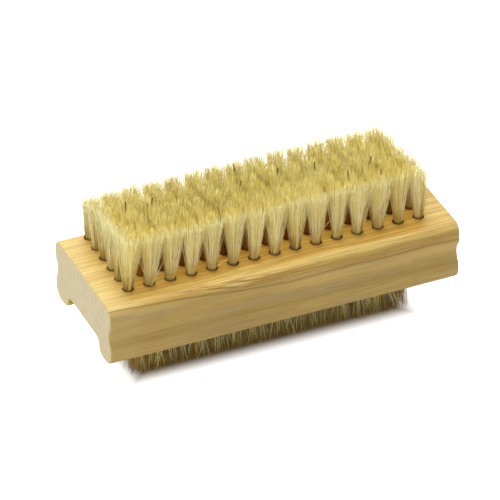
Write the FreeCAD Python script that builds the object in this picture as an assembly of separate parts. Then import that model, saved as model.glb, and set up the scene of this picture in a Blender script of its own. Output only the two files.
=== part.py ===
"""Double-sided nail brush, in millimetres.

One wooden block carries a wide field of bristle tufts on its top face and a narrow field in a shallow
channel in its underside. Every tuft is a bundle of bristles folded in half over a flat metal anchor,
which is driven into a blind hole and bites into the wood on both sides.

X runs along the brush and Z is up. The origin is on the floor under the middle of the block, and the
brush stands on the tips of its lower bristles.
"""

import FreeCAD
import Part
import math
import os

from FreeCAD import Vector

# Sizes of the wooden block
block_length = 95.0
block_width = 36.0
block_height = 17.0
top_edge_radius = 2.8
bottom_edge_radius = 3.5
end_edge_radius = 0.5

# The finger grip, a shallow groove along each long side
grip_height = 7.4
grip_depth = 1.3
grip_edge_radius = 2.0

# The channel in the underside, with soft flanks between its flat ceiling and the two lips
channel_depth = 4.0
channel_flank_width = 4.0
channel_lip_radius = 2.5

# The blind holes and how the tufts and anchors sit in them
hole_diameter = 3.0
hole_point_height = 0.8
top_hole_depth = 6.0
bottom_hole_depth = 5.0
tuft_clearance = 0.05
fold_thickness = 0.9
fold_chamfer = 0.4
anchor_width = 1.6
anchor_thickness = 0.4
anchor_bite = 0.3

# The bristles that stand out of the wood. The upper field is trimmed to slope down from its near row
# to its far row. tip_gap is the gap between one tuft's tips and the next
top_near_bristle_length = 15.3
top_far_bristle_length = 12.4
bottom_bristle_length = 15.5
tip_gap = 0.35

# The upper field of tufts. Margins run from the block's sides and ends to the outer holes' centres, and
# the near margin is the wide one
top_row_count = 6
top_tuft_count = 15
top_near_margin = 7.75
top_far_margin = 3.5
top_end_margin = 8.0
top_end_splay = 0.5
top_side_splay = 0.3

# The lower field of tufts, in the middle of the channel. Its side margin runs to the edge of the
# channel's ceiling
bottom_row_count = 3
bottom_tuft_count = 14
bottom_row_pitch = 4.95
bottom_side_margin = 3.55
bottom_end_margin = 10.8
bottom_end_splay = 0.6
bottom_side_splay = 0.4

# One overrun serves every cut that has to pass a face
overrun = 0.6

# A tuft opens slowly above the wood and faster near its tips: height shares and opening shares
flare_height_shares = (0.0, 0.12, 0.3, 0.5, 0.75, 1.0)
flare_opening_shares = (0.0, 0.04, 0.17, 0.4, 0.74, 1.0)
# A tuft is round in its hole and squarer at its tips, where its neighbours press on it
round_power = 2.0
tip_power = 3.0
section_points = 16

# What follows from the sizes above
top_row_pitch = (block_width - top_near_margin - top_far_margin) / (top_row_count - 1)
top_field_offset = (top_near_margin - top_far_margin) / 2
top_tuft_pitch = (block_length - 2 * top_end_margin) / (top_tuft_count - 1)
bottom_tuft_pitch = (block_length - 2 * bottom_end_margin) / (bottom_tuft_count - 1)
channel_ceiling_width = (bottom_row_count - 1) * bottom_row_pitch + 2 * bottom_side_margin
lip_width = (block_width - channel_ceiling_width) / 2
lip_edge_radius = min(bottom_edge_radius, lip_width - channel_flank_width)

# Heights above the floor
ceiling_z = bottom_bristle_length
lip_z = ceiling_z - channel_depth
top_z = lip_z + block_height


def arc(start, centre, radius, start_angle, end_angle):
    """Arc in the YZ plane from start, whose middle and end lie on the circle at the given angles."""
    middle_angle = (start_angle + end_angle) / 2
    points = [
        Vector(0, centre[0] + radius * math.cos(a), centre[1] + radius * math.sin(a))
        for a in (middle_angle, end_angle)
    ]
    edge = Part.Arc(Vector(0, *start), points[0], points[1]).toShape()
    return edge, (points[1].y, points[1].z)


def side_profile():
    """Edges of the block's outline on its +Y half, from the top face round to the channel's middle."""
    edges = []
    half_width = block_width / 2

    def line_to(start, end):
        if math.dist(start, end) > Part.Precision.confusion():
            edges.append(Part.makeLine(Vector(0, *start), Vector(0, *end)))
        return end

    def arc_to(start, centre, radius, start_angle, end_angle):
        edge, end = arc(start, centre, radius, start_angle, end_angle)
        edges.append(edge)
        return end

    # Top face and its rounded edge
    point = line_to((0, top_z), (half_width - top_edge_radius, top_z))
    centre = (point[0], top_z - top_edge_radius)
    point = arc_to(point, centre, top_edge_radius, math.pi / 2, 0)

    # Finger grip: a convex lip, a concave hollow and a convex lip, tangent to each other
    grip_half = grip_height / 2
    grip_turn = 2 * math.atan2(grip_depth, grip_half)
    hollow_radius = grip_half / math.sin(grip_turn) - grip_edge_radius
    grip_middle_z = top_z - block_height / 2
    point = line_to(point, (half_width, grip_middle_z + grip_half))
    centre = (half_width - grip_edge_radius, point[1])
    point = arc_to(point, centre, grip_edge_radius, 0, -grip_turn)
    centre = (half_width - grip_depth + hollow_radius, grip_middle_z)
    point = arc_to(point, centre, hollow_radius, math.pi - grip_turn, math.pi + grip_turn)
    centre = (half_width - grip_edge_radius, grip_middle_z - grip_half)
    point = arc_to(point, centre, grip_edge_radius, grip_turn, 0)

    # Rounded lower edge and the lip's flat
    point = line_to(point, (half_width, lip_z + lip_edge_radius))
    centre = (half_width - lip_edge_radius, point[1])
    point = arc_to(point, centre, lip_edge_radius, 0, -math.pi / 2)
    flank_start = channel_ceiling_width / 2 + channel_flank_width
    point = line_to(point, (flank_start, lip_z))

    # Channel flank: the lip rolls inwards, then turns into the ceiling
    flank_turn = 2 * math.atan2(channel_depth, channel_flank_width)
    ceiling_radius = channel_flank_width / math.sin(flank_turn) - channel_lip_radius
    centre = (flank_start, lip_z + channel_lip_radius)
    lip_end_angle = -math.pi / 2 - flank_turn
    point = arc_to(point, centre, channel_lip_radius, -math.pi / 2, lip_end_angle)
    centre = (channel_ceiling_width / 2, ceiling_z - ceiling_radius)
    point = arc_to(point, centre, ceiling_radius, math.pi / 2 - flank_turn, math.pi / 2)
    line_to(point, (0, ceiling_z))
    return edges


def mirrored(shape):
    """The shape on the other side of the XZ plane."""
    return shape.mirror(Vector(0, 0, 0), Vector(0, 1, 0))


def block_body():
    """The block before it is drilled."""
    half = side_profile()
    other_half = [mirrored(edge) for edge in half]
    outline = Part.Wire(Part.__sortEdges__(half + other_half))
    body = Part.Face(outline).extrude(Vector(block_length, 0, 0))
    body.translate(Vector(-block_length / 2, 0, 0))
    end_edges = [
        edge
        for edge in body.Edges
        if abs(abs(edge.CenterOfMass.x) - block_length / 2) < Part.Precision.confusion()
    ]
    return body.makeFillet(end_edge_radius, end_edges)


def field(row_count, tuft_count, row_pitch, tuft_pitch, offset, side_splay, end_splay):
    """Rows of (x, y, splay x, splay y): where each tuft stands, and how far its tips lean outwards."""
    rows = []
    for row in range(row_count):
        across = row - (row_count - 1) / 2
        y = offset + across * row_pitch
        y_splay = side_splay * 2 * across / (row_count - 1)
        places = []
        for tuft in range(tuft_count):
            along = tuft - (tuft_count - 1) / 2
            x_splay = end_splay * 2 * along / (tuft_count - 1)
            places.append((along * tuft_pitch, y, x_splay, y_splay))
        rows.append(places)
    return rows


def hole(x, y, mouth_z, up, depth):
    """Drill-shaped cutter. up is 1 for a hole in the top face and -1 for one in the channel's ceiling."""
    radius = hole_diameter / 2
    axis = Vector(0, 0, -up)
    straight = depth - hole_point_height
    barrel = Part.makeCylinder(radius, straight + overrun, Vector(x, y, mouth_z + up * overrun), axis)
    point = Part.makeCone(radius, 0, hole_point_height, Vector(x, y, mouth_z - up * straight), axis)
    return barrel.fuse(point)


def fold_z(mouth_z, up, depth):
    """Height of the folded end of a tuft, at the start of the hole's drill point."""
    return mouth_z - up * (depth - hole_point_height)


def anchor(x, y, mouth_z, up, depth):
    """Flat metal anchor, set across the brush. Its ends bite into the wood beside the hole."""
    length = hole_diameter + 2 * anchor_bite
    near_z = fold_z(mouth_z, up, depth) + up * fold_thickness
    far_z = near_z + up * anchor_width
    corner = Vector(x - anchor_thickness / 2, y - length / 2, min(near_z, far_z))
    return Part.makeBox(anchor_thickness, length, anchor_width, corner)


def section(x, y, z, half_x, half_y, power):
    """Closed smooth outline in a level plane. power 2 makes it an ellipse, and more makes it squarer."""
    points = []
    for step in range(section_points):
        angle = 2 * math.pi * step / section_points
        wide = math.copysign(abs(math.cos(angle)) ** (2 / power), math.cos(angle))
        deep = math.copysign(abs(math.sin(angle)) ** (2 / power), math.sin(angle))
        points.append(Vector(x + half_x * wide, y + half_y * deep, z))
    curve = Part.BSplineCurve()
    curve.interpolate(points, PeriodicFlag=True)
    return Part.Wire(curve.toShape())


def tuft(place, mouth_z, up, depth, length, tuft_pitch, row_pitch):
    """One tuft: its folded end in the hole, and its bristles flaring out to flat trimmed tips."""
    x, y, x_splay, y_splay = place
    radius = hole_diameter / 2 - tuft_clearance
    tip_half_x = (tuft_pitch - tip_gap) / 2
    tip_half_y = (row_pitch - tip_gap) / 2
    bottom_z = fold_z(mouth_z, up, depth)
    small = radius - fold_chamfer
    sections = [
        section(x, y, bottom_z, small, small, round_power),
        section(x, y, bottom_z + up * fold_chamfer, radius, radius, round_power),
    ]
    for height_share, opening_share in zip(flare_height_shares, flare_opening_shares):
        half_x = radius + (tip_half_x - radius) * opening_share
        half_y = radius + (tip_half_y - radius) * opening_share
        power = round_power + (tip_power - round_power) * opening_share
        lean_x = x + x_splay * height_share
        lean_y = y + y_splay * height_share
        z = mouth_z + up * length * height_share
        sections.append(section(lean_x, lean_y, z, half_x, half_y, power))
    body = Part.makeLoft(sections, True, True)
    return body.cut(anchor(x, y, mouth_z, up, depth))


def export(name, solids):
    """Writes one sub-part, which may hold several separate solids."""
    shape = solids[0] if len(solids) == 1 else Part.makeCompound(solids)
    shape.exportStep(os.path.join("parts", name + ".step"))
    volume = sum(solid.Volume for solid in solids)
    print(name, len(solids), "solids", round(volume, 1), "mm3", "valid", shape.isValid())


def row_lengths(near_length, far_length, row_count):
    """Length of the bristles in each row, from the near row to the far one."""
    step = (far_length - near_length) / (row_count - 1)
    return [near_length + row * step for row in range(row_count)]


def make_side(side, rows, lengths, mouth_z, up, depth, tuft_pitch, row_pitch):
    """Exports the tufts and anchors of one side and returns the cutters that they need in the block."""
    cutters = []
    for number, (places, length) in enumerate(zip(rows, lengths), start=1):
        tufts = [tuft(p, mouth_z, up, depth, length, tuft_pitch, row_pitch) for p in places]
        anchors = [anchor(p[0], p[1], mouth_z, up, depth) for p in places]
        export(f"{side}_tufts_row_{number}", tufts)
        export(f"{side}_anchors_row_{number}", anchors)
        cutters += [hole(p[0], p[1], mouth_z, up, depth) for p in places]
        cutters += anchors
    return cutters


def main():
    os.makedirs("parts", exist_ok=True)
    top_rows = field(
        top_row_count, top_tuft_count, top_row_pitch, top_tuft_pitch,
        top_field_offset, top_side_splay, top_end_splay,
    )
    top_lengths = row_lengths(top_near_bristle_length, top_far_bristle_length, top_row_count)
    cutters = make_side(
        "top", top_rows, top_lengths, top_z, 1, top_hole_depth, top_tuft_pitch, top_row_pitch,
    )
    bottom_rows = field(
        bottom_row_count, bottom_tuft_count, bottom_row_pitch, bottom_tuft_pitch,
        0, bottom_side_splay, bottom_end_splay,
    )
    bottom_lengths = row_lengths(bottom_bristle_length, bottom_bristle_length, bottom_row_count)
    cutters += make_side(
        "bottom", bottom_rows, bottom_lengths, ceiling_z, -1, bottom_hole_depth,
        bottom_tuft_pitch, bottom_row_pitch,
    )
    export("wood_block", [block_body().cut(cutters)])


main()
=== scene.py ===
# %% [markdown]
# # A double-sided nail brush
# A nail brush for the washstand: one block of pale hardwood with a wide field of bristles on top and a
# narrow field underneath. The block and the metal anchors inside it are already there, as a fixed frame.
# What is missing is the look: the wood's grain, and bristles that are single hairs instead of solid
# cones. This lesson makes both, then lights and frames the brush.

# %% Load the fixed frame
import bmesh
import bpy
import math
import random

from mathutils import Matrix, Vector


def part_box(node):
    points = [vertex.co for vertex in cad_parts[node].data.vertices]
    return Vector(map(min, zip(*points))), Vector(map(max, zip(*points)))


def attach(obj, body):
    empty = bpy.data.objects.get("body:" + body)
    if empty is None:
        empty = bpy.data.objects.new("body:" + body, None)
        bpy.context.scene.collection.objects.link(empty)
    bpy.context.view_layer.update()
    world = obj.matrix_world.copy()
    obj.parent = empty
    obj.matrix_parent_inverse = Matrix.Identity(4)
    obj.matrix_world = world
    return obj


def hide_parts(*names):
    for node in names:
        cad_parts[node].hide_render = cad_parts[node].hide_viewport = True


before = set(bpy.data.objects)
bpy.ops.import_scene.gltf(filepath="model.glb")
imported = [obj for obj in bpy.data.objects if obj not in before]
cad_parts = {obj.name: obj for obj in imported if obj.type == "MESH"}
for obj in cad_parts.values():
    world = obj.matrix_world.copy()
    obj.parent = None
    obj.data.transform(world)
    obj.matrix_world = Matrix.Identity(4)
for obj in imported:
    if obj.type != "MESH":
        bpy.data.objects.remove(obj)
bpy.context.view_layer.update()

MM = 0.001
print("pieces in the frame:", len(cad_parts))

# %% [markdown]
# Colours are picked as hex values, the way that they look on a screen. Blender's shaders work in linear
# light, so one function turns a hex value into a linear colour. A second one adds a shader node with its
# settings and its links, which keeps each material short enough to read.

# %% Two small helpers
def linear(hex_colour):
    """Linear RGBA of an sRGB hex colour such as "#E2B466"."""
    channels = [int(hex_colour[i:i + 2], 16) / 255 for i in (1, 3, 5)]
    curve = [c / 12.92 if c <= 0.04045 else ((c + 0.055) / 1.055) ** 2.4 for c in channels]
    return (*curve, 1.0)


def add_node(tree, kind, inputs=None, **settings):
    """A new shader node. An input that is a socket is linked, and any other is set."""
    node = tree.nodes.new("ShaderNode" + kind)
    for name, value in settings.items():
        setattr(node, name, value)
    for name, value in (inputs or {}).items():
        if isinstance(value, bpy.types.NodeSocket):
            tree.links.new(value, node.inputs[name])
        else:
            node.inputs[name].default_value = value
    return node


def new_material(name):
    """An empty node material with its output node."""
    material = bpy.data.materials.new(name)
    material.use_nodes = True
    material.node_tree.nodes.clear()
    output = add_node(material.node_tree, "OutputMaterial")
    return material, material.node_tree, output


# %% [markdown]
# More helpers for patterns. `math_node` does sums with sockets, `mix_colours` blends two colours by a
# factor, and `overlay` lays a share of one over another. `steps` turns a value into a mask that runs
# smoothly between two limits, `bump_curve` makes one that is highest at a value, and `common` keeps what
# two masks share.

# %% Pattern helpers
def math_node(tree, operation, *values):
    """One Math node. Values are sockets or numbers."""
    node = add_node(tree, "Math", operation=operation)
    for socket, value in zip(node.inputs, values):
        if isinstance(value, bpy.types.NodeSocket):
            tree.links.new(value, socket)
        else:
            socket.default_value = value
    return node.outputs[0]


def mix_colours(tree, factor, first, second):
    """Blend from the first colour to the second. Each is a socket or a hex value."""
    node = add_node(tree, "Mix", data_type="RGBA")
    for index, value in ((0, factor), (6, first), (7, second)):
        if isinstance(value, bpy.types.NodeSocket):
            tree.links.new(value, node.inputs[index])
        else:
            node.inputs[index].default_value = linear(value) if isinstance(value, str) else value
    return node.outputs[2]


def steps(tree, value, low, high):
    """0 at low, 1 at high and a smooth step between them. It falls where low is the larger one."""
    limits = {"Value": value, "From Min": low, "From Max": high}
    return add_node(tree, "MapRange", limits, interpolation_type="SMOOTHSTEP").outputs["Result"]


def bump_curve(tree, value, middle, half_width):
    """1 where the value is at the middle, falling smoothly to 0 at half_width from it."""
    away = math_node(tree, "ABSOLUTE", math_node(tree, "SUBTRACT", value, middle))
    return steps(tree, away, half_width, 0.0)


def common(tree, first, second):
    """Mask of what two masks have in common."""
    return math_node(tree, "MULTIPLY", first, second)


def overlay(tree, colour, over, share, pattern, low=0.0, high=1.0):
    """The colour with a share of another one over it where the pattern is high."""
    factor = math_node(tree, "MULTIPLY", steps(tree, pattern, low, high), share)
    return mix_colours(tree, factor, colour, over)


# %% [markdown]
# The block is a pale ring-porous hardwood, sawn so that its growth rings cross the top as fine straight
# lines and run out on the sides in long wavy figures. Real wood looks like that because the rings are
# tubes round the tree's centre. So the pattern is made the same way: the distance from an imagined
# centre line, bent a little by noise along the trunk. Fibres and pores are noise that is stretched along
# the grain. All of it is a solid pattern in object space, so top, sides and ends agree at every edge.
# Along the near edge the golden top ends at a wavy brown line, with torn fibres in its left half and a
# painted highlight along the edge itself. The sides get painted shade, which makes them darker and duller,
# with a strip of painted light just below the line towards the ends and a darker painted band low on the
# near side. The lowest edge is painted pale, for light thrown up by the white table.

# %% Wood: oiled pale hardwood
RING_WIDTH_MM = 1.9
LATE_WOOD_POWER = 4.0
PITH_Y_MM, PITH_Z_MM = -58.0, 22.0
# Long figures and short wavers: how long and wide they are, and how far they bend a ring
FIGURE_LENGTH_MM, FIGURE_WIDTH_MM, FIGURE_BEND_MM = 45.0, 14.0, 9.0
WAVER_LENGTH_MM, WAVER_WIDTH_MM, WAVER_BEND_MM = 12.0, 2.5, 1.1
FIBRE_WIDTH_MM = 0.34
PORE_WIDTH_MM = 0.32
TORN_WIDTH_MM = 0.6
TORN_MIDDLE_MM, TORN_HALF_LENGTH_MM = -15.0, 27.0
BLOCK_LOW, BLOCK_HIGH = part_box("wood_block")
# How far in from the near top edge the golden top ends, at the left end and from the middle on, and how
# wide its slow waver is and how far it reaches
BAND_END_LEFT_MM, BAND_END_RIGHT_MM = 0.5, -4.2
BAND_WAVER_WIDTH_MM, BAND_WAVER_REACH_MM = 60.0, 1.6
PALE_END_MM = 14.0
RELIEF_DEPTH = 0.06 * MM


def stretched_noise(tree, place, along_mm, across_mm, detail=2.0, shift_mm=0.0):
    """Noise whose grains are along_mm long in X and across_mm wide. A shift gives another pattern."""
    scale = (1 / along_mm, 1 / across_mm, 1 / across_mm)
    settings = {"Vector": place, "Scale": scale, "Location": (shift_mm, shift_mm, 0)}
    scaled = add_node(tree, "Mapping", settings)
    values = {"Vector": scaled.outputs[0], "Scale": 1.0, "Detail": detail}
    return add_node(tree, "TexNoise", values).outputs["Fac"]


def growth_rings(tree, place, axes):
    """Sawtooth that climbs from 0 to 1 through each year's ring."""
    from_pith_y = math_node(tree, "SUBTRACT", axes[1], PITH_Y_MM)
    from_pith_z = math_node(tree, "SUBTRACT", axes[2], PITH_Z_MM)
    square_z = math_node(tree, "MULTIPLY", from_pith_z, from_pith_z)
    radius = math_node(tree, "SQRT", math_node(tree, "MULTIPLY_ADD", from_pith_y, from_pith_y, square_z))
    figure = stretched_noise(tree, place, FIGURE_LENGTH_MM, FIGURE_WIDTH_MM, detail=1.0)
    waver = stretched_noise(tree, place, WAVER_LENGTH_MM, WAVER_WIDTH_MM)
    bent = math_node(tree, "MULTIPLY_ADD", figure, FIGURE_BEND_MM, radius)
    bent = math_node(tree, "MULTIPLY_ADD", waver, WAVER_BEND_MM, bent)
    return math_node(tree, "FRACT", math_node(tree, "DIVIDE", bent, RING_WIDTH_MM))


def edge_distances(tree, place, axes):
    """Distances in mm inwards from the near top edge and from the wavy line where the golden top ends."""
    from_side = math_node(tree, "SUBTRACT", axes[1], BLOCK_LOW.y / MM)
    from_top = math_node(tree, "SUBTRACT", BLOCK_HIGH.z / MM, axes[2])
    inwards = math_node(tree, "SUBTRACT", from_side, from_top)
    limits = {"Value": axes[0], "From Min": BLOCK_LOW.x / MM, "From Max": 0.0}
    limits |= {"To Min": BAND_END_LEFT_MM, "To Max": BAND_END_RIGHT_MM}
    line = add_node(tree, "MapRange", limits).outputs["Result"]
    waver = stretched_noise(tree, place, WAVER_LENGTH_MM, BAND_WAVER_WIDTH_MM)
    swing = math_node(tree, "SUBTRACT", waver, 0.5)
    line = math_node(tree, "MULTIPLY_ADD", swing, BAND_WAVER_REACH_MM, line)
    return inwards, math_node(tree, "SUBTRACT", inwards, line)


def grain(tree, place, late_wood, pale_fibre, pore):
    """Slow changes of tone, then rings, streaks, pale and dark fibres, and pores."""
    cloud = stretched_noise(tree, place, 35.0, 5.0, detail=1.0)
    streak = stretched_noise(tree, place, 60.0, 1.3)
    dark_fibre = stretched_noise(tree, place, 22.0, FIBRE_WIDTH_MM, detail=1.0, shift_mm=7.0)
    colour = mix_colours(tree, steps(tree, cloud, 0.35, 0.65), "#C4AC5E", "#B49643")
    colour = overlay(tree, colour, "#9E742F", 0.5, late_wood)
    colour = overlay(tree, colour, "#B58E45", 0.5, streak, 0.45, 0.7)
    colour = overlay(tree, colour, "#E8CF84", 0.42, pale_fibre, 0.5, 0.66)
    colour = overlay(tree, colour, "#A2762A", 0.6, dark_fibre, 0.52, 0.66)
    return overlay(tree, colour, "#7A5618", 0.4, pore, 0.68, 0.76)


def near_top_edge(tree, colour, along, inwards, band, near_left):
    """A painted highlight along the near top edge, pale left end, brown strip down to the line, torn
    fibres.
    """
    painted_edge_highlight = bump_curve(tree, inwards, 0.5, 1.6)
    pale_end = steps(tree, along, BLOCK_LOW.x / MM + PALE_END_MM, BLOCK_LOW.x / MM)
    brown_strip = common(tree, steps(tree, inwards, 0.0, -1.2), steps(tree, band, -0.2, 0.5))
    band_place = add_node(tree, "CombineXYZ", {0: along, 1: band}).outputs[0]
    torn = stretched_noise(tree, band_place, 8.0, TORN_WIDTH_MM, detail=0.0)
    near_band = common(tree, bump_curve(tree, band, 2.2, 3.4), near_left)
    pale_torn = common(tree, steps(tree, torn, 0.52, 0.6), near_band)
    pale_torn = common(tree, pale_torn, steps(tree, inwards, -2.6, -0.6))
    dark_torn = common(tree, steps(tree, torn, 0.48, 0.4), near_band)
    # Painted highlight: a faint pale streak that follows the rounded near top edge
    colour = overlay(tree, colour, "#E8CE80", 0.1, painted_edge_highlight)
    colour = overlay(tree, colour, "#E4D59A", 0.22, pale_end)
    colour = overlay(tree, colour, "#A07A30", 0.42, brown_strip)
    colour = overlay(tree, colour, "#EED894", 0.38, pale_torn)
    return overlay(tree, colour, "#8C6424", 0.75, dark_torn)


def duller_sides(tree, colour, place, axes, facing, band, near_left):
    """Painted shade on the sides, the brown line where the top ends, painted light below it, a painted dark
    band and a painted pale lower edge, grey patches and nicks.
    """
    far_side = steps(tree, facing[1], 0.7, 0.98)
    on_side = math_node(tree, "MAXIMUM", steps(tree, band, 0.4, -0.8), far_side)
    clear_of_torn = math_node(tree, "SUBTRACT", 1.0, near_left)
    painted_light_below_line = common(tree, bump_curve(tree, band, -1.7, 1.8), clear_of_torn)
    brown_line = bump_curve(tree, band, 0.0, 0.55)
    from_bottom = math_node(tree, "SUBTRACT", axes[2], BLOCK_LOW.z / MM)
    painted_low_shade = common(tree, bump_curve(tree, from_bottom, 3.8, 2.8), near_left)
    painted_low_shade = common(tree, painted_low_shade, on_side)
    painted_table_light = steps(tree, from_bottom, 2.2, 0.2)
    grey = common(tree, stretched_noise(tree, place, 25.0, 3.5, shift_mm=19.0), on_side)
    nick = stretched_noise(tree, place, 1.1, 0.4, detail=0.0, shift_mm=11.0)
    nick = common(tree, nick, on_side)
    # Painted shade: the sides turn darker and duller
    colour = mix_colours(tree, math_node(tree, "MULTIPLY", on_side, 0.6), colour, "#A88D4B")
    # Painted light: a paler strip just below the line, away from the torn fibres
    colour = overlay(tree, colour, "#D0B26C", 0.45, painted_light_below_line)
    colour = overlay(tree, colour, "#86641E", 0.66, brown_line)
    # Painted shade: a darker band low on the near side, towards the left
    colour = overlay(tree, colour, "#866C3C", 0.35, painted_low_shade)
    # Painted light: the lowest edge is paler, as if lit from the table below
    colour = overlay(tree, colour, "#E2C682", 0.6, painted_table_light)
    colour = overlay(tree, colour, "#A58E64", 0.4, grey, 0.5, 0.62)
    return overlay(tree, colour, "#E9DFC0", 0.5, nick, 0.84, 0.88)


def end_grain(tree, place, late_wood):
    """The cut fibres of the sawn ends: paler, greyer and softly mottled."""
    mottle = stretched_noise(tree, place, 2.0, 1.6)
    speckle = stretched_noise(tree, place, 0.5, 0.4)
    colour = mix_colours(tree, steps(tree, mottle, 0.35, 0.65), "#C4B692", "#BEAF89")
    colour = overlay(tree, colour, "#AC9A74", 0.25, speckle, 0.35, 0.7)
    return overlay(tree, colour, "#A68B5C", 0.2, late_wood)


def wood_finish():
    material, tree, output = new_material("oiled_pale_hardwood")
    coordinates = add_node(tree, "TexCoord").outputs
    scaled = add_node(tree, "VectorMath", {0: coordinates["Object"], "Scale": 1 / MM}, operation="SCALE")
    place = scaled.outputs[0]
    axes = add_node(tree, "SeparateXYZ", {0: place}).outputs
    facing = add_node(tree, "SeparateXYZ", {0: coordinates["Normal"]}).outputs
    late_wood = math_node(tree, "POWER", growth_rings(tree, place, axes), LATE_WOOD_POWER)
    pale_fibre = stretched_noise(tree, place, 18.0, FIBRE_WIDTH_MM, detail=1.0)
    pore = stretched_noise(tree, place, 3.5, PORE_WIDTH_MM, detail=0.0, shift_mm=3.0)
    inwards, band = edge_distances(tree, place, axes)
    near_left = bump_curve(tree, axes[0], TORN_MIDDLE_MM, TORN_HALF_LENGTH_MM)

    colour = grain(tree, place, late_wood, pale_fibre, pore)
    colour = near_top_edge(tree, colour, axes[0], inwards, band, near_left)
    colour = duller_sides(tree, colour, place, axes, facing, band, near_left)
    on_end = steps(tree, math_node(tree, "ABSOLUTE", facing[0]), 0.8, 0.98)
    colour = mix_colours(tree, on_end, colour, end_grain(tree, place, late_wood))

    relief = math_node(tree, "SUBTRACT", pale_fibre, steps(tree, pore, 0.66, 0.76))
    bump = add_node(tree, "Bump", {"Height": relief, "Strength": 0.3, "Distance": RELIEF_DEPTH})
    shader_inputs = {"Base Color": colour, "Roughness": 0.5, "IOR": 1.5, "Normal": bump.outputs[0]}
    shader = add_node(tree, "BsdfPrincipled", shader_inputs)
    tree.links.new(shader.outputs[0], output.inputs[0])
    return material


def dress(piece, material):
    """Give a piece of the frame its only material."""
    piece.data.materials.clear()
    piece.data.materials.append(material)


wood = wood_finish()
dress(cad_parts["wood_block"], wood)
print("wood nodes:", len(wood.node_tree.nodes))

# %% [markdown]
# The anchors are short lengths of flat drawn wire, hidden in the block. They get a plain drawn steel, so
# that a brush that is cut open or taken apart is right inside too.

# %% Anchors: drawn steel wire
DRAWN_LINE_WIDTH, DRAWN_LINE_LENGTH = 0.1 * MM, 2.0 * MM


def steel_finish():
    material, tree, output = new_material("drawn_steel_wire")
    place = add_node(tree, "TexCoord").outputs["Object"]
    scale = (1 / DRAWN_LINE_WIDTH, 1 / DRAWN_LINE_LENGTH, 1 / DRAWN_LINE_WIDTH)
    scaled = add_node(tree, "Mapping", {"Vector": place, "Scale": scale})
    lines = add_node(tree, "TexNoise", {"Vector": scaled.outputs[0], "Scale": 1.0})
    colour = mix_colours(tree, lines.outputs["Fac"], "#9A9A96", "#C2C2BE")
    shader_inputs = {"Base Color": colour, "Metallic": 1.0, "Roughness": 0.35}
    shader = add_node(tree, "BsdfPrincipled", shader_inputs)
    tree.links.new(shader.outputs[0], output.inputs[0])
    return material


steel = steel_finish()
anchor_rows = [node for name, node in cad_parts.items() if "anchors" in name]
for anchor_row in anchor_rows:
    dress(anchor_row, steel)
print("anchor rows:", len(anchor_rows))

# %% [markdown]
# A bristle is a natural hair: about 0.15 mm thick, brown at its foot and cream along its length. Every
# bristle differs a little. So each one carries its own tone across the piece's UV map and its height up the
# map, and most of the material is one picture in those two directions. Where a bristle stands counts too,
# through painted light and shade: inside the upper field the tips get a painted golden glow for the light
# that bounces between them, the outer tufts get painted light on their upper parts, the feet get painted
# shade where they go into the wood, and roots with tufts all round them lie in painted brown shade.
#
# Hairs are so thin that most light goes through them, and a tuft glows with what comes in from behind.
# Camera rays see a solid hair. Every other ray passes through it for the greater part and takes on a
# straw tint, so that the light wanders through the whole bundle.

# %% Bristle finish: natural hair
TONE_MAP = "OFBake"
LIGHT_THROUGH = 0.93
FIELD_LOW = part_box("top_anchors_row_1")[0]
FIELD_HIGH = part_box("top_anchors_row_6")[1]
# The middle of the field with its painted light and shade: how far inside the outer anchors it ends, and
# how far past that edge the painted golden tips reach, the painted pale tops are full, the painted brown
# shade ends and the painted brown shade is full
SHADE_MARGIN = 2.6 * MM
GOLD_END, PALE_FULL = 4.5 * MM, 3.0 * MM
SHADE_END, SHADE_FULL = 1.5 * MM, -0.5 * MM


def outside_box(tree, place, middle, half_x, half_y):
    """Distance in X or Y from a box round the middle, negative inside it."""
    from_x = math_node(tree, "ABSOLUTE", math_node(tree, "SUBTRACT", place[0], middle.x))
    from_y = math_node(tree, "ABSOLUTE", math_node(tree, "SUBTRACT", place[1], middle.y))
    beside_x = math_node(tree, "SUBTRACT", from_x, half_x)
    beside_y = math_node(tree, "SUBTRACT", from_y, half_y)
    return math_node(tree, "MAXIMUM", beside_x, beside_y)


def by_tone(tree, deep, pale, deepest, darker, paler):
    """The deepest colour on the darkest bristles, the darker on most and the paler on the palest."""
    return mix_colours(tree, deep, deepest, mix_colours(tree, pale, darker, paler))


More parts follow.
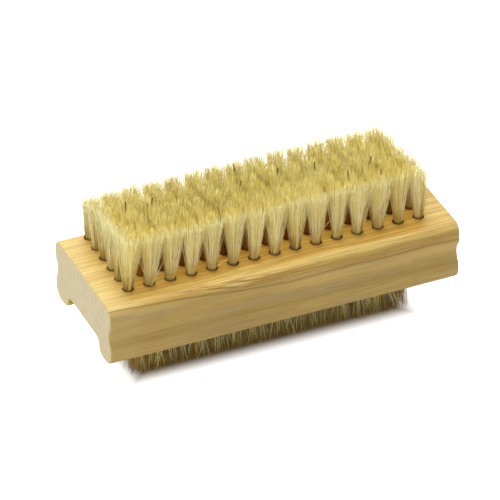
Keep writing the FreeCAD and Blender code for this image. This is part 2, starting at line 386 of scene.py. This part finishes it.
def hair_colour(tree):
    """Colour of a bristle by its tone and by the height up its length, with painted light and shade by
    where it stands.
    """
    position = add_node(tree, "UVMap", uv_map=TONE_MAP).outputs[0]
    axes = add_node(tree, "SeparateXYZ", {0: position}).outputs
    tone, height = axes[0], axes[1]
    place = add_node(tree, "SeparateXYZ", {0: add_node(tree, "TexCoord").outputs["Object"]}).outputs
    half = (FIELD_HIGH - FIELD_LOW) / 2
    outside = outside_box(tree, place, FIELD_LOW + half, half.x - SHADE_MARGIN, half.y - SHADE_MARGIN)

    # From root to middle
    pale = steps(tree, tone, 0.16, 0.92)
    deep = steps(tree, tone, 0.0, 0.3)
    root = by_tone(tree, deep, pale, "#7A5828", "#B49E52", "#ECE094")
    middle = by_tone(tree, deep, pale, "#7E5A2A", "#DED682", "#FEFFD6")
    golden = by_tone(tree, deep, pale, "#785628", "#D6BC38", "#FFF488")
    colour = mix_colours(tree, steps(tree, height, 0.0, 0.4), root, middle)

    # Painted light and shade: a golden glow on the tips inside the field, pale tops at its rim, a darker
    # brown foot at the wood and brown shade round the inner roots
    painted_tip_glow = common(tree, steps(tree, height, 0.86, 1.0), steps(tree, outside, GOLD_END, 0.0))
    colour = mix_colours(tree, painted_tip_glow, colour, golden)
    # Painted light: the upper parts of the outermost tufts are paler
    painted_rim_light = common(tree, steps(tree, height, 0.4, 0.8), steps(tree, outside, 0.0, PALE_FULL))
    colour = overlay(tree, colour, "#FAFFD6", 0.35, painted_rim_light)
    # Painted shade: the lowest part of each bristle, where it goes into the wood, is darker
    colour = mix_colours(tree, steps(tree, height, 0.06, -0.02), colour, "#987234")
    deep_inside = steps(tree, outside, SHADE_END, SHADE_FULL)
    inner_root = common(tree, deep_inside, steps(tree, height, 0.7, 0.15))
    colour = overlay(tree, colour, "#AC7216", 0.9, inner_root)

    # The few dark hairs have the lowest tones
    dark = steps(tree, math_node(tree, "SUBTRACT", 1.0, tone), 0.985, 0.99)
    return mix_colours(tree, dark, colour, "#2B2119"), height


def hair_finish():
    material, tree, output = new_material("natural_hair")
    colour, height = hair_colour(tree)
    surface = add_node(tree, "BsdfPrincipled", {"Base Color": colour, "Roughness": 0.42, "IOR": 1.55})
    tint = mix_colours(tree, steps(tree, height, 0.1, 0.7), "#FFEB96", "#FFF29C")
    clear = add_node(tree, "BsdfTransparent", {"Color": tint})
    lit = add_node(tree, "MixShader", {0: LIGHT_THROUGH, 1: surface.outputs[0], 2: clear.outputs[0]})
    seen = add_node(tree, "LightPath").outputs["Is Camera Ray"]
    both = add_node(tree, "MixShader", {0: seen, 1: lit.outputs[0], 2: surface.outputs[0]})
    tree.links.new(both.outputs[0], output.inputs[0])
    return material


hair = hair_finish()

# %% [markdown]
# One straight bristle is a thin three-sided rod with a few rings along it, closed to a fine end. It is
# made once, from a cone, and then bent into each place. Height runs from 0 at the wood to 1 at the tip,
# and a short root goes down into the hole.

# %% The unit bristle
BRISTLE_SIDES = 3
RING_HEIGHTS = (0.0, 0.3, 0.6, 0.85)
ROOT_SHARE = -0.25
FINE_END = 0.25
# Half the width that one bristle takes on its UV map
TONE_SPREAD = 0.004


def unit_bristle():
    """Mesh of a straight bristle with radius 1, from ROOT_SHARE up to 1. Its root is cut square."""
    rod = bmesh.new()
    tones = rod.loops.layers.uv.new(TONE_MAP)
    depth = 1 - ROOT_SHARE
    bmesh.ops.create_cone(
        rod, cap_ends=True, segments=BRISTLE_SIDES, radius1=1, radius2=FINE_END, depth=depth,
        matrix=Matrix.Translation((0, 0, ROOT_SHARE + depth / 2)),
    )
    for height in RING_HEIGHTS:
        everything = rod.verts[:] + rod.edges[:] + rod.faces[:]
        bmesh.ops.bisect_plane(rod, geom=everything, plane_co=(0, 0, height), plane_no=(0, 0, 1))
    for face in rod.faces:
        face.smooth = True
        for loop in face.loops:
            loop[tones].uv = (loop.vert.co.x * TONE_SPREAD, max(loop.vert.co.z, 0))
    mesh = bpy.data.meshes.new("unit_bristle")
    rod.to_mesh(mesh)
    rod.free()
    return mesh


unit = unit_bristle()
print("faces of one bristle:", len(unit.polygons))

# %% [markdown]
# A tuft is a bundle of such bristles. They start packed in a round hole and spread out to a rounded
# square, where the next tufts press on them. Natural bristles cling together, so each one leans towards
# one of a few locks, and the locks leave small gaps. Tips end unevenly, and a few bristles stray.
# Each tuft is built at the origin, and each side of the brush has its own set of different tufts.

# %% Tufts of bent bristles
BRISTLES_PER_TUFT = 340
TUFT_VARIANTS = 14
ROOT_RADIUS = 1.2 * MM
TIP_HALF_X = 2.85 * MM
TIP_HALF_Y = 2.6 * MM
REFERENCE_LENGTH = 15.3 * MM
# A bristle's radius, the least and the greatest share of it, and how much it narrows towards the tip
BRISTLE_RADIUS = 0.092 * MM
THICKNESS_RANGE = (0.6, 1.15)
TAPER = 0.15
# Locks: how far out their tips may be, how strongly they draw bristles, and how much of a bristle's tone
# is its lock's
LOCKS_PER_TUFT = 24
LOCK_REACH = 0.85
LOCK_PULL = 0.42
LOCK_TONE_SHARE = 0.72
PALE_TONES = (0.6, 0.97)
BOW = 0.3 * MM
# Power of the height by which a bristle goes from its root's place to its tip's: 1 is a straight line
FLARE_RANGE = (1.15, 1.85)
TRIM_SCATTER = 0.04
# Share of stray bristles, and how much further out their tips are
STRAY_SHARE = 0.1
STRAY_REACH = (1.15, 1.5)
GOLDEN_ANGLE = math.pi * (3 - math.sqrt(5))
# Powers of spread_point
DISC, ROUNDED_SQUARE = 2, 3
# How the two sides differ: range of tones, share of pale bristles, scatter of the tips, the share of its
# length that a bristle can be longer than the rest, and the tufts' girth
LOOKS = {
    "top": {
        "tones": (0.06, 0.97), "pale_chance": 0.22,
        "scatter": 0.45 * MM, "extra": 0.06, "girth": (0.9, 1.06),
    },
    "bottom": {
        "tones": (0.02, 0.17), "pale_chance": 0.1,
        "scatter": 0.6 * MM, "extra": 0.0, "girth": (0.84, 1.02),
    },
}


def spread_point(share, angle, power):
    """A point of the unit disc or of a rounded square, further out for a greater share."""
    wide = math.copysign(abs(math.cos(angle)) ** (2 / power), math.cos(angle))
    deep = math.copysign(abs(math.sin(angle)) ** (2 / power), math.sin(angle))
    return Vector((wide, deep)) * math.sqrt(share)


def bristle_path(dice, share, angle, locks, scatter):
    """Root, tip and bow of one bristle in X and Y from the tuft's axis, how it flares, and its lock."""
    root = spread_point(share, angle, DISC) * ROOT_RADIUS
    spread = spread_point(share, angle, ROUNDED_SQUARE)
    tip = Vector((spread.x * TIP_HALF_X, spread.y * TIP_HALF_Y))
    nearest = min(range(len(locks)), key=lambda lock: (locks[lock] - tip).length)
    tip = tip.lerp(locks[nearest], LOCK_PULL * dice.random())
    tip += Vector((dice.gauss(0, scatter), dice.gauss(0, scatter)))
    if dice.random() < STRAY_SHARE:
        tip *= dice.uniform(*STRAY_REACH)
    bow = Vector((dice.gauss(0, BOW), dice.gauss(0, BOW)))
    return (root, tip, bow, dice.uniform(*FLARE_RANGE)), nearest


def add_bristle(bundle, path, length, radius, tone, turn):
    """Add the unit bristle to the bundle, bent along the path, standing on the floor of its own axes."""
    root, tip, bow, flare = path
    first_vert, first_face = len(bundle.verts), len(bundle.faces)
    bundle.from_mesh(unit)
    bundle.verts.ensure_lookup_table()
    bundle.faces.ensure_lookup_table()
    spin = Matrix.Rotation(turn, 2)
    for vert in bundle.verts[first_vert:]:
        height = vert.co.z
        rise = max(height, 0)
        centre = root.lerp(tip, rise ** flare) + bow * math.sin(math.pi * rise)
        around = spin @ vert.co.xy * radius * (1 - TAPER * rise)
        vert.co = (*(centre + around), height * length)
    tones = bundle.loops.layers.uv[TONE_MAP]
    for face in bundle.faces[first_face:]:
        for loop in face.loops:
            loop[tones].uv.x += tone


def build_tuft(seed, look):
    """Mesh of one tuft on the origin, with bristles of the reference length."""
    dice = random.Random(seed)

    def pick_tone():
        pale = dice.random() < look["pale_chance"]
        return dice.uniform(*(PALE_TONES if pale else look["tones"]))

    locks = []
    for lock in range(LOCKS_PER_TUFT):
        centre = spread_point(dice.random() * LOCK_REACH, dice.uniform(0, 2 * math.pi), ROUNDED_SQUARE)
        locks.append(Vector((centre.x * TIP_HALF_X, centre.y * TIP_HALF_Y)))
    lock_tones = [pick_tone() for lock in locks]
    bundle = bmesh.new()
    for number in range(BRISTLES_PER_TUFT):
        share = (number + dice.random()) / BRISTLES_PER_TUFT
        path, lock = bristle_path(dice, share, number * GOLDEN_ANGLE, locks, look["scatter"])
        shorter = abs(dice.gauss(0, TRIM_SCATTER))
        length = REFERENCE_LENGTH * (1 - shorter + look["extra"] * dice.random() ** 6)
        radius = BRISTLE_RADIUS * dice.uniform(*THICKNESS_RANGE)
        tone = LOCK_TONE_SHARE * lock_tones[lock] + (1 - LOCK_TONE_SHARE) * pick_tone()
        add_bristle(bundle, path, length, radius, tone, dice.uniform(0, math.pi / 2))
    mesh = bpy.data.meshes.new(f"tuft_{seed}")
    bundle.to_mesh(mesh)
    bundle.free()
    return mesh


tufts = {
    side: [build_tuft(seed, look) for seed in range(TUFT_VARIANTS)] for side, look in LOOKS.items()
}
print("triangles of a tuft:", sum(len(face.vertices) - 2 for face in tufts["top"][0].polygons))

# %% [markdown]
# Now the rows. A row's anchors lie right under its tufts, so the frame says where every tuft stands, and
# the row's solid says how tall it is. Tufts at the sides of a field lean outwards a little, because
# nothing presses them back, and those at its ends lean inwards. Then come single hairs that catch the
# eye: dark ones, as in any natural bristle mix, loose ones that stand off from their tuft, and pale ones
# all along the near side of the lower field.

# %% Rows of tufts
ANCHOR_THICKNESS = 0.4 * MM
CHANNEL_DEPTH = 4.0 * MM
ROW_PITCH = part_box("top_anchors_row_2")[0].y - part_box("top_anchors_row_1")[0].y
# How far tips lean outwards in the end tufts and in the side rows, and how much each tuft differs
END_LEAN = {"top": -0.8 * MM, "bottom": -1.0 * MM}
SIDE_LEAN = {"top": 0.3 * MM, "bottom": 1.3 * MM}
LEAN_SCATTER_X_MM, LEAN_SCATTER_Y_MM = 0.15, 0.12
TUFT_HEIGHT_RANGE = (0.97, 1)
# Row and place of each dark tip, counted in tufts from the near left corner
DARK_TIPS = (
    (4.2, 2.1), (3.6, 2.9), (4.0, 3.3), (1.6, 5.5), (5.4, 7.7), (3.6, 7.4), (3.9, 9.3), (3.7, 11.0),
    (1.9, 11.9), (2.8, 13.4),
)
# Row and place of a loose hair's tuft, row and place of its tip, height of the tip, flare
LOOSE_HAIRS = (
    (1, 2, 1.0, 2.7, 0.39, 1), (1, 2, 1.0, 1.45, 0.56, 1), (2, 1, 1.7, 1.9, 1.0, 6),
    (1, 5, 0.9, 4.5, 0.67, 1), (1, 5, 0.8, 5.7, 0.15, 1), (1, 10, 0.9, 10.9, 0.45, 2),
    (1, 8, 0.8, 7.5, 0.6, 1), (1, 13, 0.8, 13.6, 0.7, 1), (3, 1, 3.0, 0.4, 0.95, 2),
    (6, 15, 6.3, 15.6, 1.04, 2), (6, 4, 6.5, 4.3, 1.08, 2), (6, 11, 6.4, 10.6, 1.06, 2),
)
SINGLE_RADIUS = 0.2 * MM
# Where single hairs leave their hole, which is at its near side, and how exactly their tips are placed
SINGLE_ROOT_X_MM, SINGLE_ROOT_Y_MM = (-0.4, 0.4), (-1.3, -0.6)
SINGLE_TIP_MM = (-0.15, 0.15)
DARK_HAIRS_PER_TIP = 6
DARK_HEIGHT, DARK_FLARE = 1.06, 1.2
PALE_TONE, DARK_TONE = 0.75, 0.006
# The pale hairs of the lower field: how far forward their tips stand in rows, their scatter along the row
# in tufts, their height and their flare
PALE_HAIRS_BELOW = 150
PALE_FORWARD, PALE_SCATTER = (-0.85, -0.45), 0.55
PALE_HEIGHT, PALE_FLARE = (0.7, 1.0), 1.0


class Row:
    """Places along one row of tufts. side is top or bottom, and number counts from 1 at the near side."""

    def __init__(self, side, number, tuft_count, mouth_z):
        anchors_low, anchors_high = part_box(f"{side}_anchors_row_{number}")
        tufts_low, tufts_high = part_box(f"{side}_tufts_row_{number}")
        self.name = f"{side}_bristles_row_{number}"
        self.solid = f"{side}_tufts_row_{number}"
        self.tuft_count = tuft_count
        self.up = 1 if side == "top" else -1
        self.length = abs((tufts_high.z if self.up == 1 else tufts_low.z) - mouth_z)
        self.first_x = anchors_low.x + ANCHOR_THICKNESS / 2
        self.pitch = (anchors_high.x - anchors_low.x - ANCHOR_THICKNESS) / (tuft_count - 1)
        self.y = (anchors_low.y + anchors_high.y) / 2
        self.mouth_z = mouth_z

    def stand(self, place):
        """Matrix that takes a tuft from the origin to its hole. place counts from 1."""
        flip = Matrix.Rotation(0 if self.up == 1 else math.pi, 4, "X")
        return Matrix.Translation((self.first_x + (place - 1) * self.pitch, self.y, self.mouth_z)) @ flip


def add_tuft(shape, dice, row, place, across, side):
    """One tuft of the set, turned, stretched to the row's length and leant."""
    along = 2 * (place - 1) / (row.tuft_count - 1) - 1
    lean_x = along ** 3 * END_LEAN[side] + dice.gauss(0, LEAN_SCATTER_X_MM) * MM
    lean_y = across * SIDE_LEAN[side] + dice.gauss(0, LEAN_SCATTER_Y_MM) * MM
    lean = Matrix.Identity(4)
    lean[0][2] = lean_x / row.length
    lean[1][2] = row.up * lean_y / row.length
    girth = dice.uniform(*LOOKS[side]["girth"])
    stretch = row.length / REFERENCE_LENGTH * dice.uniform(*TUFT_HEIGHT_RANGE)
    scale = Matrix.Diagonal((girth, girth, stretch, 1))
    turn = Matrix.Rotation(math.pi * dice.randint(0, 1), 4, "Z")
    first_vert = len(shape.verts)
    shape.from_mesh(dice.choice(tufts[side]))
    shape.verts.ensure_lookup_table()
    stance = row.stand(place) @ lean @ scale @ turn
    bmesh.ops.transform(shape, matrix=stance, verts=shape.verts[first_vert:])


def add_single(shape, dice, row, place, offset, height, flare, tone):
    """One thick hair out of the near half of the tuft at place. Its tip is offset rows and tufts away."""
    root = Vector((dice.uniform(*SINGLE_ROOT_X_MM), dice.uniform(*SINGLE_ROOT_Y_MM) * row.up)) * MM
    tip = Vector((offset[1] * row.pitch, offset[0] * ROW_PITCH * row.up))
    tip += Vector((dice.uniform(*SINGLE_TIP_MM), dice.uniform(*SINGLE_TIP_MM))) * MM
    first_vert = len(shape.verts)
    path = (root, tip, Vector((0, 0)), flare)
    add_bristle(shape, path, height * row.length, SINGLE_RADIUS, tone, dice.uniform(0, math.pi / 2))
    shape.verts.ensure_lookup_table()
    bmesh.ops.transform(shape, matrix=row.stand(place), verts=shape.verts[first_vert:])


def add_dark_and_loose_hairs(shape, dice, row, number):
    """The row's share of DARK_TIPS and LOOSE_HAIRS."""
    for tip_row, tip_place in DARK_TIPS:
        if round(tip_row) == number:
            offset = (tip_row - number, tip_place - round(tip_place))
            for hair_number in range(DARK_HAIRS_PER_TIP):
                add_single(
                    shape, dice, row, round(tip_place), offset, DARK_HEIGHT, DARK_FLARE, DARK_TONE
                )
    for root_row, root_place, tip_row, tip_place, height, flare in LOOSE_HAIRS:
        if root_row == number:
            offset = (tip_row - root_row, tip_place - root_place)
            add_single(shape, dice, row, root_place, offset, height, flare, PALE_TONE)


def add_pale_hairs(shape, dice, row):
    """Pale hairs in front of the near lower row, clear of its two end tufts."""
    for hair_number in range(PALE_HAIRS_BELOW):
        offset = (dice.uniform(*PALE_FORWARD), dice.gauss(0, PALE_SCATTER))
        height = dice.uniform(*PALE_HEIGHT)
        place = dice.randint(2, row.tuft_count - 1)
        add_single(shape, dice, row, place, offset, height, PALE_FLARE, PALE_TONE)


def build_row(side, number, row_count, tuft_count, mouth_z):
    """The piece that stands for one row of solid tufts."""
    dice = random.Random(f"{side} {number}")
    row = Row(side, number, tuft_count, mouth_z)
    across = 2 * (number - 1) / (row_count - 1) - 1
    shape = bmesh.new()
    for place in range(1, tuft_count + 1):
        add_tuft(shape, dice, row, place, across, side)
    if side == "top":
        add_dark_and_loose_hairs(shape, dice, row, number)
    elif number == 1:
        add_pale_hairs(shape, dice, row)
    mesh = bpy.data.meshes.new(row.name)
    shape.to_mesh(mesh)
    shape.free()
    mesh.materials.append(hair)
    piece = bpy.data.objects.new(mesh.name, mesh)
    bpy.context.scene.collection.objects.link(piece)
    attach(piece, "root")
    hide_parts(row.solid)
    return piece


TOP_ROWS, TOP_TUFTS = 6, 15
BOTTOM_ROWS, BOTTOM_TUFTS = 3, 14
CEILING_Z = BLOCK_LOW.z + CHANNEL_DEPTH
rows = [build_row("top", n, TOP_ROWS, TOP_TUFTS, BLOCK_HIGH.z) for n in range(1, TOP_ROWS + 1)]
rows += [build_row("bottom", n, BOTTOM_ROWS, BOTTOM_TUFTS, CEILING_Z) for n in range(1, BOTTOM_ROWS + 1)]
print("bristles:", sum(len(piece.data.polygons) for piece in rows) // len(unit.polygons))

# %% [markdown]
# The brush stands on a white table in front of a white wall, so the floor only has to hold its shadow.
# A floor that is lit like paper comes out light grey, so camera rays get a little of its own light added
# and see it white, while the shadow under the brush stays. Right under the brush a dark brown shadow is
# painted on the table, which has almost no light of its own there, so the shade between the lower bristles
# stays deep and warm. The world is white for camera and mirror rays. The light that it casts is softer, and
# softest from below.

# %% Floor and surroundings
FLOOR_SIZE = 3.0
SHADE_HALF_LENGTH = 37.5 * MM
SHADE_HALF_WIDTH = 10.0 * MM
SHADE_EDGE = 7.0 * MM
TABLE_GLOW = 0.95
FILL_FROM_BELOW, FILL_FROM_ABOVE = 0.35, 0.58


def build_floor():
    """A white table that glows, with a painted brown shadow and nearly no glow right under the brush."""
    shape = bmesh.new()
    bmesh.ops.create_grid(shape, x_segments=1, y_segments=1, size=FLOOR_SIZE / 2)
    mesh = bpy.data.meshes.new("floor")
    shape.to_mesh(mesh)
    shape.free()
    material, tree, output = new_material("white_table_with_painted_shadow")
    seen = add_node(tree, "LightPath").outputs["Is Camera Ray"]
    place = add_node(tree, "SeparateXYZ", {0: add_node(tree, "TexCoord").outputs["Object"]}).outputs
    outside = outside_box(tree, place, Vector((0, 0)), SHADE_HALF_LENGTH, SHADE_HALF_WIDTH)
    # Painted shadow: right under the brush the glow and the paper turn dark brown
    outside_painted_shadow = steps(tree, outside, -SHADE_EDGE / 2, SHADE_EDGE / 2)
    glow_colour = mix_colours(tree, outside_painted_shadow, "#4A3C24", "#FFFFFF")
    glow_strength = math_node(tree, "MULTIPLY", seen, TABLE_GLOW)
    glow = add_node(tree, "Emission", {"Color": glow_colour, "Strength": glow_strength})
    paper = add_node(tree, "BsdfDiffuse", {"Color": mix_colours(tree, outside_painted_shadow, "#604B26", "#ECE9E4")})
    both = add_node(tree, "AddShader", {0: glow.outputs[0], 1: paper.outputs[0]})
    tree.links.new(both.outputs[0], output.inputs[0])
    mesh.materials.append(material)
    floor = bpy.data.objects.new("floor", mesh)
    bpy.context.scene.collection.objects.link(floor)


def build_world():
    """White where it is seen or mirrored, and a softer light on everything else."""
    world = bpy.data.worlds.new("white_room")
    bpy.context.scene.world = world
    world.use_nodes = True
    tree = world.node_tree
    tree.nodes.clear()
    path = add_node(tree, "LightPath").outputs
    mirrored = math_node(tree, "MAXIMUM", path["Is Glossy Ray"], path["Is Transmission Ray"])
    seen = math_node(tree, "MAXIMUM", path["Is Camera Ray"], mirrored)
    upwards = add_node(tree, "SeparateXYZ", {0: add_node(tree, "TexCoord").outputs["Generated"]}).outputs[2]
    limits = {"Value": upwards, "To Min": FILL_FROM_BELOW, "To Max": FILL_FROM_ABOVE}
    fill = add_node(tree, "MapRange", limits).outputs["Result"]
    strength = add_node(tree, "Mix", {0: seen, 2: fill, 3: 1.0}).outputs[0]
    background = add_node(tree, "Background", {"Color": linear("#FFFFFF"), "Strength": strength})
    output = add_node(tree, "OutputWorld")
    tree.links.new(background.outputs[0], output.inputs[0])


build_floor()
build_world()

# %% [markdown]
# The main light is large, soft and high up, a little behind the brush. It makes the top golden and leaves
# the near side in shade, which is what shows the grip's shape. A weaker one from the left front keeps the
# sawn end readable.

# %% Lights
LIT_POINT = Vector((0, 0, 20.0 * MM))


def area_light(name, place, size, power):
    """A square area light that shines from place on the brush."""
    data = bpy.data.lights.new(name, "AREA")
    data.size = size
    data.energy = power
    light = bpy.data.objects.new(name, data)
    light.location = place
    light.rotation_euler = (LIT_POINT - Vector(place)).to_track_quat("-Z", "Y").to_euler()
    bpy.context.scene.collection.objects.link(light)


area_light("key_light", place=(0.05, 0.25, 0.86), size=0.6, power=9.1)
area_light("end_light", place=(-0.78, -0.2, 0.3), size=0.35, power=2.1)

# %% [markdown]
# The camera stands front left of the brush and well above it, far away with a long lens, as for a
# catalogue picture. Its angles, distance and lens come from the brush's own corners and holes.

# %% Camera
AZIMUTH, ELEVATION = math.radians(-24.0), math.radians(33.9)
DISTANCE = 1275.2 * MM
FOCAL_PIXELS, FRAME_PIXELS = 5097.0, 500.0
CENTRE_SHIFT_PIXELS = Vector((4.4, -23.3))
SENSOR_WIDTH = 36.0
CLIP_END = 10.0


def build_camera():
    """The camera looks just past the middle of the upper field, at the height of the block's top."""
    level = math.cos(ELEVATION)
    backwards = Vector((math.sin(AZIMUTH) * level, -math.cos(AZIMUTH) * level, math.sin(ELEVATION)))
    right = Vector((math.cos(AZIMUTH), math.sin(AZIMUTH), 0))
    up = backwards.cross(right)
    top_field = (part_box("top_anchors_row_1")[0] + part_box("top_anchors_row_6")[1]) / 2
    pivot = Vector((0, top_field.y, BLOCK_HIGH.z))
    place = pivot + backwards * DISTANCE
    pixel = DISTANCE / FOCAL_PIXELS
    target = pivot - right * CENTRE_SHIFT_PIXELS.x * pixel + up * CENTRE_SHIFT_PIXELS.y * pixel
    data = bpy.data.cameras.new("catalogue_camera")
    data.sensor_width = SENSOR_WIDTH
    data.lens = FOCAL_PIXELS / FRAME_PIXELS * SENSOR_WIDTH
    data.clip_end = CLIP_END
    camera = bpy.data.objects.new("catalogue_camera", data)
    camera.location = place
    camera.rotation_euler = (target - place).to_track_quat("-Z", "Y").to_euler()
    bpy.context.scene.collection.objects.link(camera)
    bpy.context.scene.camera = camera


build_camera()
bpy.context.scene.view_settings.view_transform = "Standard"
